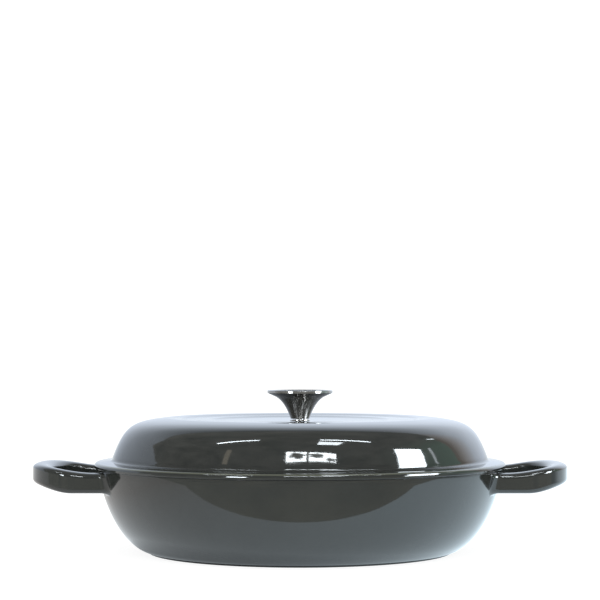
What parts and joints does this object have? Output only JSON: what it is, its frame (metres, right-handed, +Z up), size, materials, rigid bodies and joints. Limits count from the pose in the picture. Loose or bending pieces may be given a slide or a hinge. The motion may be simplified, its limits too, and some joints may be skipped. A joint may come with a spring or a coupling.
{
  "type": "shallow round casserole pan",
  "caption": "Wide shallow round cast-iron pan with a loop handle on each side and a domed lid with a flared steel knob, for braising and frying on the stove or in the oven.",
  "frame": {"origin": "middle of the base, on the surface that the pan stands on", "axes": "+Z up along the axis of the pan and lid, +X towards the right-hand loop handle, the picture looks along +Y"},
  "size_m": [0.4048, 0.312, 0.1222],
  "materials": {
    "dark_enamel": "very dark green glossy glass enamel over cast iron",
    "knob_steel": "satin spun stainless steel",
    "plated_steel": "dull plated steel"
  },
  "bodies": {
    "pan": {"pan": "dark_enamel"},
    "lid": {"lid": "dark_enamel", "knob_body": "knob_steel", "knob_cap": "knob_steel", "knob_collar": "knob_steel", "knob_core": "plated_steel", "knob_screw": "plated_steel", "screw_washer": "plated_steel", "spring_washer": "plated_steel"}
  },
  "joints": [
    {"name": "lid_lift", "type": "slide", "parent": "pan", "child": "lid", "axis": [0, 0, 1], "range_m": [0, 0.12]}
  ]
}
